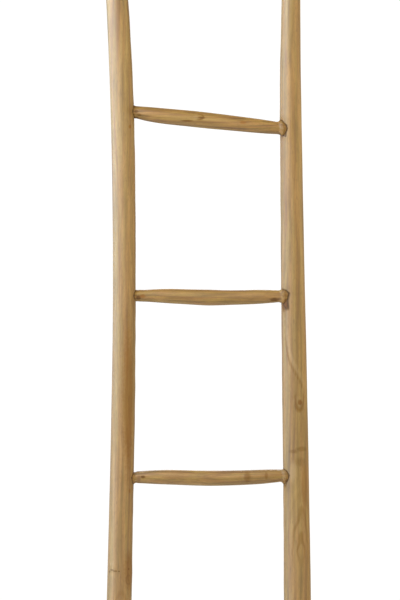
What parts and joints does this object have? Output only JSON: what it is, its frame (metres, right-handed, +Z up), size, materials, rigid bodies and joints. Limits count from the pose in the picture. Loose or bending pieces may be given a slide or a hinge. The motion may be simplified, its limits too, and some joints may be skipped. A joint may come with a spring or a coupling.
{
  "type": "quilt rack ladder",
  "caption": "Tall leaning ladder of debarked branch wood, two bowed poles joined by whittled round rungs, for hanging quilts, throws or towels.",
  "frame": {"origin": "on the floor, at the middle of the overall box's footprint, between the two feet", "axes": "+Z up the poles, +X from the left pole to the right one as seen from the front, +Y to the back"},
  "size_m": [0.422, 0.0601, 1.8],
  "materials": {
    "pole_wood": "sanded branch wood, bare",
    "rung_wood": "whittled and sanded branch wood, bare",
    "peg_wood": "end grain, sanded"
  },
  "bodies": {
    "root": {"left_pole": "pole_wood", "right_pole": "pole_wood", "rung_1": "rung_wood", "rung_2": "rung_wood", "rung_3": "rung_wood", "rung_4": "rung_wood", "rung_5": "rung_wood", "left_peg_1": "peg_wood", "left_peg_2": "peg_wood", "left_peg_3": "peg_wood", "left_peg_4": "peg_wood", "left_peg_5": "peg_wood", "right_peg_1": "peg_wood", "right_peg_2": "peg_wood", "right_peg_3": "peg_wood", "right_peg_4": "peg_wood", "right_peg_5": "peg_wood"}
  },
  "joints": []
}
